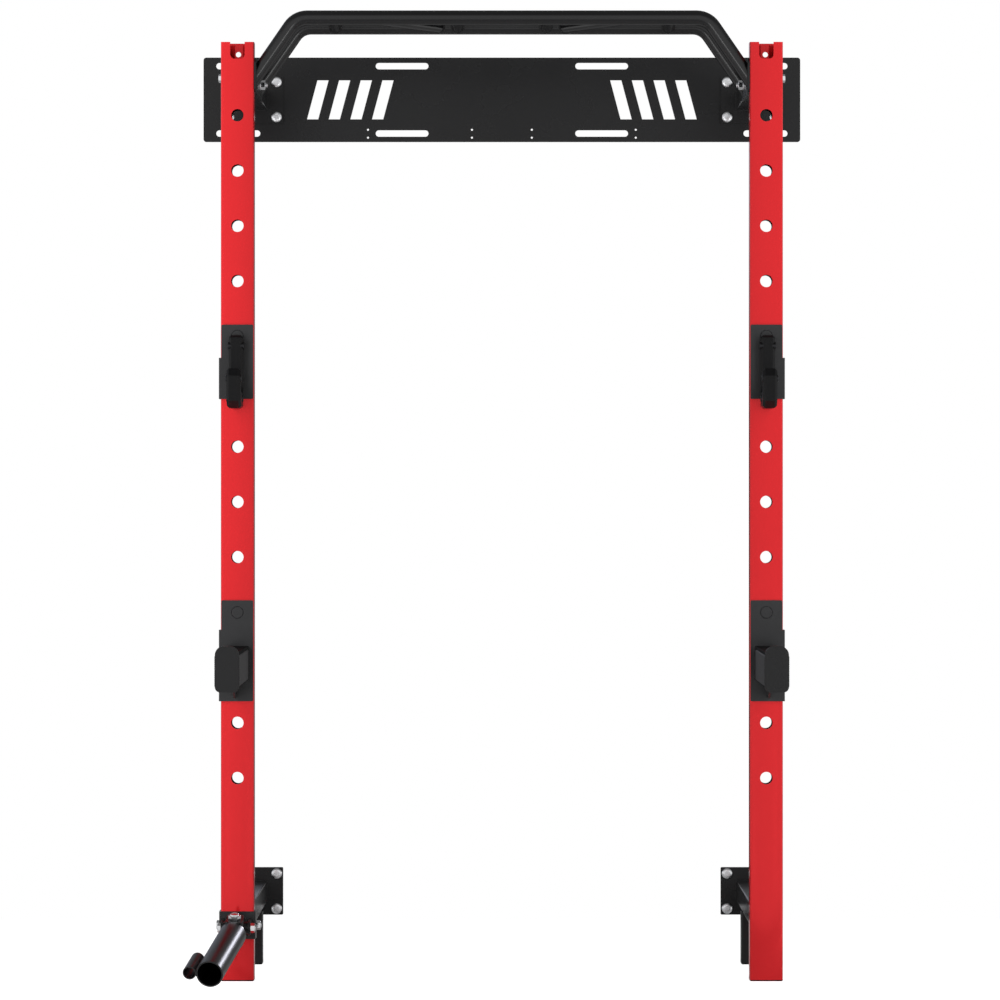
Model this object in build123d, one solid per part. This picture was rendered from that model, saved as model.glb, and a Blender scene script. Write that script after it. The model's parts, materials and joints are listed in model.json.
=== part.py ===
from build123d import *
import os

# Wall-mounted half rack with two uprights, a multi-grip pull-up bar, J-cups, spotter arms and a landmine.
# Millimetres, +X right, +Y towards the wall, +Z up. The origin is on the floor, in the middle of the box.
# Everything on the left side is drawn once and mirrored for the right side.
# Depths (y) are counted from the front face of the uprights, and shifted to the origin when saved.

# Main sizes
upright_spacing = 1197.0
upright_width = 75.0
upright_depth = 50.0
upright_top = 2126.0
wall_depth = 733.0
spotter_reach = 450.0
tube_wall = 3.0
tube_corner = 4.0

# Hole pattern of the uprights
hole_diameter = 28.0
hole_pitch = 125.0
first_hole = 460.0
hole_count = 13
side_hole_diameter = 10.0
side_hole_drop = 78.0
notch_width = 32.6
notch_depth = 38.0
notch_radius = 10.0
lock_hole_diameter = 12.0
lock_hole_height = 2101.0

# Plastic feet
cap_flange = 3.0
cap_plug = 22.0
cap_gap = 0.25
cap_wall = 3.0
cap_corner = 1.5
cap_chamfer = 2.0

# Header plate
header_length = 1435.0
header_height = 203.0
header_thickness = 4.0
header_middle = 2050.0
header_corner = 7.0
slot_height = 15.6
slot_row = 81.0
stud_slot_x = 240.0
stud_slot_length = 127.0
end_slot_x = 634.0
end_slot_length = 106.0
slash_width = 27.0
slash_height = 94.0
slash_lean = 25.0
slash_pitch = 52.1
slash_inner_x = 286.4
slash_count = 4
pilot_diameter = 5.0
pilot_columns = (72.0, 322.0)
pilot_drops = (72.0, 91.0)

# Wall brackets: plate, arm and flange
plate_width = 145.0
plate_height = 114.0
plate_thickness = 6.0
plate_corner = 3.0
wall_bolt_x = 57.0
wall_bolt_z = 42.0
wall_bolt_diameter = 12.0
wall_bolt_head = 26.5
wall_bolt_dome = 7.0
wall_bolt_rim = 1.0
arm_width = 70.0
arm_height = 50.0
upper_arm_z = header_middle
lower_arm_z = 147.5
flange_height = 90.0
flange_thickness = 6.0
flange_bolt_z = 32.8
drain_hole_diameter = 24.0
drain_hole_depth = 655.0

# Rear legs under the lower arms
leg_width = 75.0
leg_depth = 50.0
leg_middle = 435.0

# Pull-up bar
bar_diameter = 33.0
bar_wall = 2.5
bar_height = 2183.0
bar_corner_x = 466.0
bar_bend = 46.0
bar_end_x = 557.0
bar_end_z = 2051.0
front_bar_y = 25.0
rear_bar_y = 272.0
grip_diameter = 27.0
neutral_grip_x = (102.0, 385.0)
angled_grip_front_x = 310.0
angled_grip_rear_x = 139.0
weld_gap = 0.2
bar_flange_thickness = 4.0
bar_flange_front = 2.0
bar_flange_back = 304.0
bar_flange_low = 2012.0
bar_flange_high = 2090.0
bar_flange_corner = 12.0
bar_bolt_z = 2045.0
bar_arm_bolt_y = 190.0
bar_arm_bolt_z = 2043.0
bar_nut_reach = 18.0

# J-cups and spotter arms: pinned plates that hook round the outer side of the upright
slide_gap = 0.3
pin_diameter = 27.85
pin_depth = 32.0
pin_seat_gap = 0.1
pin_chamfer = 2.0
pin_front_chamfer = 1.5
saddle_thickness = 4.0
saddle_half_width = 36.0
saddle_corner = 3.0
saddle_bend = 2.5
saddle_side_gap = 0.3
saddle_side_depth = 45.0
cup_pin_z = 1460.0
cup_plate_low = 1318.0
cup_plate_high = 1486.0
cup_side_high = 1411.0
cup_reach = 130.0
cup_low = 1296.0
cup_seat = 1335.0
cup_lip_high = 1384.5
cup_back_depth = 18.0
cup_stem_high = 1461.5
cup_stem_brow = 5.0
cup_lip_depth = 26.0
cup_lip_bevel = 16.5
cup_lip_bevel_depth = 11.0
cup_chin = 15.4
cup_chin_depth = 30.0
cup_brow = 8.0
cup_seat_radius = 16.0
cup_shift = 2.4
cup_shell = 16.0
cup_shell_chamfer = 5.0
cup_core = 8.0
cup_core_inset = 7.0
cup_bolt_places = ((14.0, 1438.0), (117.0, 1362.0), (45.0, 1318.0))
cup_bolt_shank = 8.0
cup_bolt_head = 17.0
cup_bolt_seat = 10.0
cup_bolt_cap = 2.3
spotter_pin_z = 835.0
spotter_plate_low = 634.0
spotter_plate_high = 862.4
spotter_side_high = 795.0
spotter_width = 50.0
spotter_height = 70.0
spotter_middle = 717.0
spotter_end_width = 52.0
spotter_end_low = 671.6
spotter_end_high = 772.7
spotter_end_thickness = 8.0
spotter_end_top_radius = 20.0
spotter_end_low_radius = 12.0
spotter_pad_thickness = 7.0
spotter_pad_radius = 1.0
gusset_thickness = 4.0
gusset_shift = 5.3
gusset_low = 642.0
gusset_reach = 95.0
gusset_foot = 14.0
gusset_toe = 6.0
gusset_radius = 4.0

# Landmine on the left upright
bracket_thickness = 3.5
bracket_low = 96.0
bracket_high = 158.5
bracket_side_depth = 47.0
clamp_bolt_z = 125.5
landmine_shift = 1.4
pivot_y = -54.0
pivot_z = 125.5
rest_pitch = 15.2
rest_yaw = 8.8
ear_inside = 28.0
ear_thickness = 5.0
ear_radius = 16.0
swivel_z = 129.0
yaw_offset = 33.0
swivel_tube_diameter = 28.0
swivel_tube_half = 27.5
swivel_half_width = 19.0
swivel_half_height = 23.7
swivel_back = 10.0
swivel_front = 18.0
swivel_nose_radius = 16.0
swivel_back_radius = 6.0
pivot_fit = 0.07
fork_inside = 24.0
fork_thickness = 5.0
fork_width = 38.0
sleeve_diameter = 60.0
sleeve_wall = 3.0
sleeve_start = 26.0
sleeve_end = 274.0
sleeve_back_plate = 5.0
side_tube_diameter = 30.0
side_tube_wall = 2.5
side_tube_length = 90.0
side_tube_gap = 0.2

# Fasteners: shank diameter, across flats, head height, nut height
m8 = (8.0, 13.0, 5.3, 6.5)
m10 = (10.0, 17.0, 6.4, 8.4)
m12 = (12.0, 19.0, 7.5, 10.8)
m16 = (16.0, 24.0, 10.0, 13.0)
bolt_hole_gap = 0.25
nut_bore_gap = 0.1
washer_thickness = 2.5
washer_rim = 2.5
flange_bolt_tip = 12.0
thin_nut = 5.0
thread_tip = 1.5

# How far a cutter reaches past a face
cut_margin = 1.0

left_x = -upright_spacing / 2
outer_x = left_x - upright_width / 2
inner_x = left_x + upright_width / 2
cup_x = left_x - cup_shift
landmine_x = left_x - landmine_shift
front_y = (spotter_reach - wall_depth) / 2
pin_heights = [first_hole + hole_pitch * step for step in range(hole_count)]


def box(x0, x1, y0, y1, z0, z1):
    return Pos((x0 + x1) / 2, (y0 + y1) / 2, (z0 + z1) / 2) * Box(x1 - x0, y1 - y0, z1 - z0)


def facing_front(x, y, z):
    """Upright plane at a point, facing the front."""
    return Plane(origin=(x, y, z), x_dir=(1, 0, 0), z_dir=(0, -1, 0))


def between(start, end):
    """Plane at start that faces end, and the distance to it."""
    way = Vector(*end) - Vector(*start)
    return Plane(origin=start, z_dir=way), way.length


def rod(diameter, start, end):
    plane, length = between(start, end)
    return extrude(plane * Circle(diameter / 2), length)


def hexagon(across_flats, start, end):
    plane, length = between(start, end)
    return extrude(plane * RegularPolygon(across_flats / 2, 6, major_radius=False), length)


def outline(corners):
    """Closed face through (u, v, radius) corners."""
    points = [(u, v) for u, v, radius in corners]
    radii = [radius for u, v, radius in corners]
    return make_face(FilletPolyline(points, radius=radii, close=True))


def square_tube(width, depth):
    hollow = RectangleRounded(width - 2 * tube_wall, depth - 2 * tube_wall, tube_corner - tube_wall)
    return RectangleRounded(width, depth, tube_corner) - hollow


def group(shapes):
    return Compound([solid for shape in shapes for solid in shape.solids()])


def mirrored(shape):
    return mirror(shape, about=Plane.YZ)


def bolt(size, head_end, tip):
    """Hexagon bolt whose head rests at head_end and whose shank ends at tip."""
    shank, across_flats, head_height, _ = size
    away = (Vector(*head_end) - Vector(*tip)).normalized()
    head_top = Vector(*head_end) + away * head_height
    return rod(shank, head_end, tip) + hexagon(across_flats, head_end, tuple(head_top))


def nut(size, start, end):
    shank, across_flats, _, _ = size
    return hexagon(across_flats, start, end) - rod(shank + 2 * nut_bore_gap, start, end)


def washer(size, start, end):
    shank, across_flats, _, _ = size
    return rod(across_flats + 2 * washer_rim, start, end) - rod(shank + 2 * nut_bore_gap, start, end)


def make_upright(landmine_bolt):
    """Left upright: a rectangular tube with through holes, side holes and an open notched top."""
    middle_y = upright_depth / 2
    outside, inside = outer_x - cut_margin, inner_x + cut_margin
    behind = upright_depth + cut_margin
    section = Pos(left_x, middle_y, cap_flange) * square_tube(upright_width, upright_depth)
    tube = extrude(section, upright_top - cap_flange)
    cuts = []
    for height in pin_heights:
        cuts.append(rod(hole_diameter, (left_x, -cut_margin, height), (left_x, behind, height)))
        side = height - side_hole_drop
        cuts.append(rod(side_hole_diameter, (outside, middle_y, side), (inside, middle_y, side)))
    half_notch = notch_width / 2
    notch = outline([
        (left_x - half_notch, upright_top + cut_margin, 0),
        (left_x - half_notch, upright_top - notch_depth, notch_radius),
        (left_x + half_notch, upright_top - notch_depth, notch_radius),
        (left_x + half_notch, upright_top + cut_margin, 0),
    ])
    cuts.append(extrude(Plane.XZ.offset(cut_margin) * notch, -tube_wall - 2 * cut_margin))
    lock_start = (left_x, middle_y, lock_hole_height)
    cuts.append(rod(lock_hole_diameter, lock_start, (left_x, behind, lock_hole_height)))
    flange_hole = m8[0] + 2 * bolt_hole_gap
    for arm_z in (upper_arm_z, lower_arm_z):
        for height in (arm_z - flange_bolt_z, arm_z + flange_bolt_z):
            cuts.append(rod(flange_hole, (left_x, middle_y, height), (left_x, behind, height)))
    cross_holes = [(m10, bar_bolt_z)]
    if landmine_bolt:
        cross_holes.append((m12, clamp_bolt_z))
    for size, height in cross_holes:
        hole = size[0] + 2 * bolt_hole_gap
        cuts.append(rod(hole, (outside, middle_y, height), (inside, middle_y, height)))
    return tube - cuts


def make_cap(middle_x, middle_y, width, depth):
    """Plastic foot: a flange under the tube and a hollow plug inside it."""
    plug_width = width - 2 * tube_wall - 2 * cap_gap
    plug_depth = depth - 2 * tube_wall - 2 * cap_gap
    base = extrude(Pos(middle_x, middle_y) * RectangleRounded(width, depth, tube_corner), cap_flange)
    base = chamfer(base.faces().sort_by(Axis.Z)[0].edges(), cap_chamfer)
    plug = RectangleRounded(plug_width, plug_depth, cap_corner)
    plug -= RectangleRounded(plug_width - 2 * cap_wall, plug_depth - 2 * cap_wall, cap_corner)
    return base + extrude(Pos(middle_x, middle_y, cap_flange) * plug, cap_plug)


def make_header():
    """Steel strip on the wall, with stud slots, end slots, slanted cut-outs and pilot holes."""
    strip = RectangleRounded(header_length, header_height, header_corner)
    slots = []
    for row in (-slot_row, slot_row):
        for side in (-1, 1):
            slots.append(Pos(side * stud_slot_x, row) * SlotOverall(stud_slot_length, slot_height))
            slots.append(Pos(side * end_slot_x, row) * SlotOverall(end_slot_length, slot_height))
    for step in range(slash_count):
        middle = slash_inner_x + slash_pitch * step
        half = slash_width / 2
        high, low = middle - slash_lean / 2, middle + slash_lean / 2
        corners = [(high - half, slash_height / 2), (high + half, slash_height / 2),
                   (low + half, -slash_height / 2), (low - half, -slash_height / 2)]
        for side in (-1, 1):
            slots.append(make_face(Polyline([(side * u, v) for u, v in corners], close=True)))
    for column in pilot_columns:
        for drop in pilot_drops:
            for side in (-1, 1):
                slots.append(Pos(side * column, -drop) * Circle(pilot_diameter / 2))
    for plate_x in (left_x, -left_x):
        for place_x, place_z in bolt_places():
            slots.append(Pos(plate_x + place_x, place_z) * Circle(wall_bolt_diameter / 2 + bolt_hole_gap))
    face = strip - slots
    return extrude(facing_front(0, wall_depth, header_middle) * face, header_thickness)


def bolt_places():
    return [(x, z) for x in (-wall_bolt_x, wall_bolt_x) for z in (-wall_bolt_z, wall_bolt_z)]


def make_wall_plate(back_y, height):
    """Left wall plate with its four bolt holes."""
    face = RectangleRounded(plate_width, plate_height, plate_corner)
    face -= [Pos(x, z) * Circle(wall_bolt_diameter / 2 + bolt_hole_gap) for x, z in bolt_places()]
    return extrude(facing_front(left_x, back_y, height) * face, plate_thickness)


def make_wall_bolts(plate_front_y, height):
    """Four round-headed bolts that run back to the wall face."""
    bolts = []
    for x, z in bolt_places():
        place = (left_x + x, plate_front_y, height + z)
        head_plane = Plane(origin=place, z_dir=(0, -1, 0))
        head = extrude(head_plane * Circle(wall_bolt_head / 2), wall_bolt_dome)
        head = fillet(head.edges().sort_by(Axis.Y)[0], wall_bolt_dome - wall_bolt_rim)
        bolts.append(head + rod(wall_bolt_diameter, place, (place[0], wall_depth, place[2])))
    return bolts


def make_arm(plate_front_y, height, drain_hole):
    """Left arm: a tube from the flange to the wall plate."""
    start_y = upright_depth + flange_thickness
    plane = facing_front(left_x, plate_front_y, height)
    tube = extrude(plane * square_tube(arm_width, arm_height), plate_front_y - start_y)
    if drain_hole:
        top = (left_x, drain_hole_depth, height + arm_height)
        tube -= rod(drain_hole_diameter, (left_x, drain_hole_depth, height), top)
    if height == upper_arm_z:
        hole = m12[0] + 2 * bolt_hole_gap
        tube -= rod(hole, (left_x - arm_width, bar_arm_bolt_y, bar_arm_bolt_z),
                    (left_x + arm_width, bar_arm_bolt_y, bar_arm_bolt_z))
    return tube


def make_arm_flange(height):
    """Left flange plate between the upright's back and the arm."""
    face = RectangleRounded(upright_width, flange_height, plate_corner)
    face -= [Pos(0, z) * Circle(m8[0] / 2 + bolt_hole_gap) for z in (-flange_bolt_z, flange_bolt_z)]
    back = upright_depth + flange_thickness
    return extrude(facing_front(left_x, back, height) * face, flange_thickness)


def make_flange_bolts(height):
    """Two bolts from behind the left flange, and their welded nuts inside the upright."""
    bolts, nuts = [], []
    inside_y = upright_depth - tube_wall
    for z in (height - flange_bolt_z, height + flange_bolt_z):
        head = (left_x, upright_depth + flange_thickness, z)
        bolts.append(bolt(m8, head, (left_x, upright_depth - flange_bolt_tip, z)))
        nuts.append(nut(m8, (left_x, inside_y, z), (left_x, inside_y - m8[3], z)))
    return bolts, nuts


def make_rear_leg():
    """Left floor leg under the lower arm."""
    section = Pos(left_x, leg_middle, cap_flange) * square_tube(leg_width, leg_depth)
    return extrude(section, lower_arm_z - arm_height / 2 - cap_flange)


def bar_solid(middle_y, diameter):
    """Bent round bar from flange to flange, cut square against both flanges."""
    slope = (bar_height - bar_end_z) / (bar_end_x - bar_corner_x)
    past = bar_diameter
    end_z = bar_end_z - slope * past
    points = [(-bar_end_x - past, middle_y, end_z), (-bar_corner_x, middle_y, bar_height),
              (bar_corner_x, middle_y, bar_height), (bar_end_x + past, middle_y, end_z)]
    path = FilletPolyline(points, radius=bar_bend)
    bar = sweep(Plane(origin=path @ 0, z_dir=path % 0) * Circle(diameter / 2), path=path)
    room = box(-bar_end_x, bar_end_x, middle_y - diameter, middle_y + diameter, 0, bar_height + diameter)
    return bar & room


def make_bar(middle_y):
    return bar_solid(middle_y, bar_diameter) - bar_solid(middle_y, bar_diameter - 2 * bar_wall)


def make_grip(front_x, rear_x):
    """Straight grip between the two bars, coped to fit round them."""
    front = (front_x, front_bar_y, bar_height)
    rear = (rear_x, rear_bar_y, bar_height)
    cope = bar_diameter + 2 * weld_gap
    grip = rod(grip_diameter, front, rear)
    reach = 4 * bar_diameter
    for middle_x, middle_y in ((front_x, front_bar_y), (rear_x, rear_bar_y)):
        grip -= rod(cope, (middle_x - reach, middle_y, bar_height), (middle_x + reach, middle_y, bar_height))
    return grip


def make_bar_flange():
    """Left flange plate that carries the ends of both bars."""
    face = outline([
        (bar_flange_front, bar_flange_low, bar_flange_corner),
        (bar_flange_back, bar_flange_low, bar_flange_corner),
        (bar_flange_back, bar_flange_high, bar_flange_corner),
        (bar_flange_front, bar_flange_high, bar_flange_corner),
    ])
    for y, z, size in ((front_bar_y, bar_bolt_z, m10), (bar_arm_bolt_y, bar_arm_bolt_z, m12)):
        face -= Pos(y, z) * Circle(size[0] / 2 + bolt_hole_gap)
    return extrude(Plane.YZ.offset(inner_x) * face, bar_flange_thickness)


def make_bar_fasteners():
    """Left bolts of the pull-up bar: one through the upright, one through the upper arm."""
    flange_x = inner_x + bar_flange_thickness
    y, z = front_bar_y, bar_bolt_z
    pieces = [bolt(m10, (outer_x, y, z), (flange_x + thin_nut, y, z))]
    pieces.append(nut(m10, (flange_x, y, z), (flange_x + thin_nut, y, z)))
    y, z = bar_arm_bolt_y, bar_arm_bolt_z
    arm_outer = left_x - arm_width / 2
    arm_inner = left_x + arm_width / 2
    nut_start = flange_x + washer_thickness
    pieces.append(bolt(m12, (arm_outer, y, z), (flange_x + bar_nut_reach, y, z)))
    pieces.append(washer(m12, (arm_inner, y, z), (inner_x, y, z)))
    pieces.append(washer(m12, (flange_x, y, z), (nut_start, y, z)))
    pieces.append(nut(m12, (nut_start, y, z), (nut_start + m12[3], y, z)))
    return pieces


def make_saddle(pin_z, low, high, side_high):
    """Left L-shaped plate: flat on the upright's front, hooked round its outer side."""
    side_outer = outer_x - saddle_side_gap - saddle_thickness
    front = -slide_gap - saddle_thickness
    right = left_x + saddle_half_width
    face = outline([
        (side_outer, low, 0),
        (right, low, saddle_corner),
        (right, high, saddle_corner),
        (left_x - saddle_half_width, high, saddle_corner),
        (left_x - saddle_half_width, side_high, 0),
        (side_outer, side_high, 0),
    ])
    face -= Pos(left_x, pin_z) * Circle(pin_diameter / 2 + pin_seat_gap)
    plate = extrude(facing_front(0, -slide_gap, 0) * face, saddle_thickness)
    side = box(side_outer, side_outer + saddle_thickness, front, saddle_side_depth, low, side_high)
    back_edges = side.edges().filter_by(Axis.X).sort_by(Axis.Y)[-2:]
    saddle = plate + fillet(back_edges, saddle_thickness)
    outer_edges = saddle.edges().filter_by(Axis.Z).group_by(Axis.X)[0]
    return fillet(outer_edges.sort_by(Axis.Y)[0], saddle_bend)


def make_pin(pin_z):
    front = -slide_gap - saddle_thickness
    pin = rod(pin_diameter, (left_x, front, pin_z), (left_x, pin_depth, pin_z))
    pin = chamfer(pin.edges().sort_by(Axis.Y)[-1], pin_chamfer)
    return chamfer(pin.edges().sort_by(Axis.Y)[0], pin_front_chamfer)


def cup_outline():
    """Side view of the J-cup hook, in depth and height."""
    back = -slide_gap - saddle_thickness
    lip_front = -cup_reach
    return outline([
        (back, cup_stem_high, 0),
        (back, cup_low, 0),
        (lip_front + cup_chin_depth, cup_low, 0),
        (lip_front, cup_low + cup_chin, 0),
        (lip_front, cup_lip_high - cup_lip_bevel, 0),
        (lip_front + cup_lip_bevel_depth, cup_lip_high, 0),
        (lip_front + cup_lip_depth - cup_brow, cup_lip_high, 0),
        (lip_front + cup_lip_depth, cup_lip_high - cup_brow, 0),
        (lip_front + cup_lip_depth, cup_seat, cup_seat_radius),
        (back - cup_back_depth, cup_seat, cup_seat_radius),
        (back - cup_back_depth, cup_stem_high - cup_stem_brow, 0),
        (back - cup_back_depth + cup_stem_brow, cup_stem_high, 0),
    ])


def cup_rod(diameter, place, start, end):
    """Rod across the J-cup at a bolt place, between two distances from its middle."""
    depth, height = place
    return rod(diameter, (cup_x + start, -depth, height), (cup_x + end, -depth, height))


def cup_core_blank():
    """Steel core of the J-cup: its outline set back, with a strip that reaches the plate."""
    back = -slide_gap - saddle_thickness
    core = offset(cup_outline(), -cup_core_inset, kind=Kind.INTERSECTION)
    weld_strip = Pos(back - cup_core_inset, (cup_plate_low + cup_stem_high) / 2)
    core += weld_strip * Rectangle(2 * cup_core_inset, cup_stem_high - cup_plate_low - 2 * cup_core_inset)
    return extrude(Plane.YZ.offset(cup_x - cup_core / 2) * core, cup_core)


def cup_bolt_holes():
    hole = cup_bolt_shank + 2 * bolt_hole_gap
    return [cup_rod(hole, place, -cup_shell, cup_shell) for place in cup_bolt_places]


def make_cup_hook():
    return cup_core_blank() - cup_bolt_holes()


def make_cup_liner():
    """Two plastic half shells that close round the steel core, with sunk seats for the bolts."""
    shell = extrude(Plane.YZ.offset(cup_x) * cup_outline(), cup_shell)
    rim = shell.faces().sort_by(Axis.X)[-1].edges()
    right = chamfer(rim, cup_shell_chamfer)
    left = mirror(right, about=Plane.YZ.offset(cup_x))
    cuts = cup_bolt_holes() + [cup_core_blank()]
    sink = cup_bolt_head + 2 * bolt_hole_gap
    for place in cup_bolt_places:
        cuts.append(cup_rod(sink, place, cup_bolt_seat, cup_shell + cut_margin))
        cuts.append(cup_rod(sink, place, -cup_shell - cut_margin, -cup_bolt_seat))
    return [right - cuts, left - cuts]


def make_cup_bolts():
    """Round-headed bolts sunk in the shells, each with a round cap nut."""
    outside = cup_shell + cup_bolt_cap
    pieces = []
    for place in cup_bolt_places:
        shank = cup_rod(cup_bolt_shank, place, -cup_bolt_seat, outside)
        pieces.append(shank + cup_rod(cup_bolt_head, place, -outside, -cup_bolt_seat))
        bore = cup_rod(cup_bolt_shank + 2 * nut_bore_gap, place, cup_bolt_seat, outside)
        pieces.append(cup_rod(cup_bolt_head, place, cup_bolt_seat, outside) - bore)
    return pieces


def spotter_span():
    return -slide_gap - saddle_thickness, -spotter_reach + spotter_end_thickness


def make_spotter_arm():
    back, front = spotter_span()
    plane = facing_front(left_x, back, spotter_middle)
    return extrude(plane * square_tube(spotter_width, spotter_height), back - front)


def make_spotter_end():
    """Upright end plate that stops the bar rolling off."""
    half = spotter_end_width / 2
    face = outline([
        (left_x - half, spotter_end_low, spotter_end_low_radius),
        (left_x + half, spotter_end_low, spotter_end_low_radius),
        (left_x + half, spotter_end_high, spotter_end_top_radius),
        (left_x - half, spotter_end_high, spotter_end_top_radius),
    ])
    _, front = spotter_span()
    return extrude(facing_front(0, front, 0) * face, spotter_end_thickness)


def make_spotter_pad():
    """Plastic strip on top of the arm."""
    back, front = spotter_span()
    low = spotter_middle + spotter_height / 2
    half = spotter_width / 2
    pad = box(left_x - half, left_x + half, front, back, low, low + spotter_pad_thickness)
    top = pad.faces().sort_by(Axis.Z)[-1].edges().filter_by(Axis.Y)
    return fillet(top, spotter_pad_radius)


def make_gusset():
    """Web plate under the arm, a little outside its middle."""
    back, _ = spotter_span()
    under = spotter_middle - spotter_height / 2
    face = outline([
        (back, under, 0),
        (back, gusset_low, 0),
        (back - gusset_foot, gusset_low, gusset_radius),
        (back - gusset_reach, under - gusset_toe, gusset_radius),
        (back - gusset_reach, under, 0),
    ])
    start = left_x - gusset_shift - gusset_thickness / 2
    return extrude(Plane.YZ.offset(start) * face, gusset_thickness)


def make_landmine_bracket():
    """U-shaped bracket round the left upright with two ears in front."""
    side_outer = upright_width / 2 + bracket_thickness
    span = (bracket_low, bracket_high)
    bracket = box(left_x - side_outer, left_x + side_outer, -bracket_thickness, 0, *span)
    clamp_y = upright_depth / 2
    ear_face = Rectangle(-pivot_y - bracket_thickness, 2 * ear_radius, align=(Align.MIN, Align.CENTER))
    ear_face = Pos(pivot_y, pivot_z) * (ear_face + Circle(ear_radius))
    ear_face -= Pos(pivot_y, pivot_z) * Circle(m12[0] / 2 + pivot_fit)
    for side in (-1, 1):
        inner, outer = sorted((side * upright_width / 2, side * side_outer))
        bracket += box(left_x + inner, left_x + outer, -bracket_thickness, bracket_side_depth, *span)
        ear_x = ear_inside if side > 0 else -ear_inside - ear_thickness
        bracket += extrude(Plane.YZ.offset(landmine_x + ear_x) * ear_face, ear_thickness)
    hole = m12[0] + 2 * bolt_hole_gap
    reach = side_outer + cut_margin
    hole_start = (left_x - reach, clamp_y, clamp_bolt_z)
    hole_end = (left_x + reach, clamp_y, clamp_bolt_z)
    return bracket - rod(hole, hole_start, hole_end)


def cross_bolt(size, middle, half_span):
    """Bolt and nut from left to right through a point."""
    x, y, z = middle
    nut_face = x + half_span
    nut_end = nut_face + size[3]
    shank = bolt(size, (x - half_span, y, z), (nut_end + thread_tip, y, z))
    return [shank, nut(size, (nut_face, y, z), (nut_end, y, z))]


# The swivel's own frame lies above the pitch bolt, with -Y along the sleeve when it points straight ahead.
swivel_place = Pos(landmine_x, pivot_y, swivel_z) * Rot(rest_pitch, 0, 0)
# The sleeve's own frame lies on the yaw bolt.
sleeve_place = swivel_place * Pos(0, -yaw_offset, 0) * Rot(0, 0, -rest_yaw)


def make_swivel():
    """Cross tube that pitches between the ears, and the block on it that carries the yaw bolt."""
    front = -yaw_offset - swivel_front
    plan = outline([
        (-swivel_half_width, swivel_back, swivel_back_radius),
        (-swivel_half_width, front, swivel_nose_radius),
        (swivel_half_width, front, swivel_nose_radius),
        (swivel_half_width, swivel_back, swivel_back_radius),
    ])
    block = extrude(Pos(0, 0, -swivel_half_height) * plan, 2 * swivel_half_height)
    top = swivel_half_height + cut_margin
    yaw_hole = rod(m16[0] + 2 * bolt_hole_gap, (0, -yaw_offset, -top), (0, -yaw_offset, top))
    tube_start = (landmine_x - swivel_tube_half, pivot_y, pivot_z)
    tube_end = (landmine_x + swivel_tube_half, pivot_y, pivot_z)
    pitch_hole = rod(m12[0] + 2 * bolt_hole_gap, tube_start, tube_end)
    swivel = swivel_place * block + rod(swivel_tube_diameter, tube_start, tube_end)
    return swivel - swivel_place * yaw_hole - pitch_hole


def make_yaw_bolt():
    """Vertical pivot bolt with its nut, just clear of the fork plates."""
    face = fork_inside + fork_thickness + slide_gap
    y = -yaw_offset
    nut_top = (0, y, face + m16[3])
    pieces = [bolt(m16, (0, y, -face), nut_top)]
    pieces.append(nut(m16, (0, y, face), nut_top))
    return [swivel_place * piece for piece in pieces]


def make_fork():
    """Two plates and the end disc that join the sleeve to the yaw bolt."""
    half = fork_width / 2
    face = Rectangle(fork_width, sleeve_start - sleeve_back_plate, align=(Align.CENTER, Align.MAX))
    face += Circle(half)
    face -= Circle(m16[0] / 2 + pivot_fit)
    disc = rod(sleeve_diameter, (0, -sleeve_start + sleeve_back_plate, 0), (0, -sleeve_start, 0))
    upper = extrude(Pos(0, 0, fork_inside) * face, fork_thickness)
    lower = extrude(Pos(0, 0, -fork_inside - fork_thickness) * face, fork_thickness)
    return sleeve_place * (disc + upper + lower)


def make_sleeve():
    start, end = (0, -sleeve_start, 0), (0, -sleeve_end, 0)
    bore = sleeve_diameter - 2 * sleeve_wall
    return sleeve_place * (rod(sleeve_diameter, start, end) - rod(bore, start, end))


def make_side_tube():
    """Short tube beside the sleeve's mouth, on its outer side."""
    x = -(sleeve_diameter + side_tube_diameter) / 2 - side_tube_gap
    start, end = (x, -sleeve_end + side_tube_length, 0), (x, -sleeve_end, 0)
    bore = side_tube_diameter - 2 * side_tube_wall
    return sleeve_place * (rod(side_tube_diameter, start, end) - rod(bore, start, end))


parts = {}


def add_pair(name, shape):
    parts["left_" + name] = shape
    parts["right_" + name] = mirrored(shape)


def add_both(name, shapes):
    """One node with the left pieces and their mirror images."""
    parts[name] = group(list(shapes) + [mirrored(shape) for shape in shapes])


# Uprights and feet
parts["left_upright"] = make_upright(landmine_bolt=True)
parts["right_upright"] = mirrored(make_upright(landmine_bolt=False))
add_both("upright_foot_caps", [make_cap(left_x, upright_depth / 2, upright_width, upright_depth)])
add_pair("rear_leg", make_rear_leg())
add_both("rear_leg_caps", [make_cap(left_x, leg_middle, leg_width, leg_depth)])

# Header, wall brackets and their bolts
parts["header_plate"] = make_header()
wall_bolts, flange_bolts, flange_nuts = [], [], []
for level, arm_z, plate_back in (
    ("upper", upper_arm_z, wall_depth - header_thickness),
    ("lower", lower_arm_z, wall_depth),
):
    plate_front = plate_back - plate_thickness
    add_pair(level + "_wall_plate", make_wall_plate(plate_back, arm_z))
    add_pair(level + "_arm", make_arm(plate_front, arm_z, drain_hole=level == "lower"))
    add_pair(level + "_arm_flange", make_arm_flange(arm_z))
    wall_bolts += make_wall_bolts(plate_front, arm_z)
    bolts, nuts = make_flange_bolts(arm_z)
    flange_bolts += bolts
    flange_nuts += nuts
add_both("wall_bolts", wall_bolts)
add_both("arm_flange_bolts", flange_bolts)
add_both("arm_flange_nuts", flange_nuts)

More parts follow.
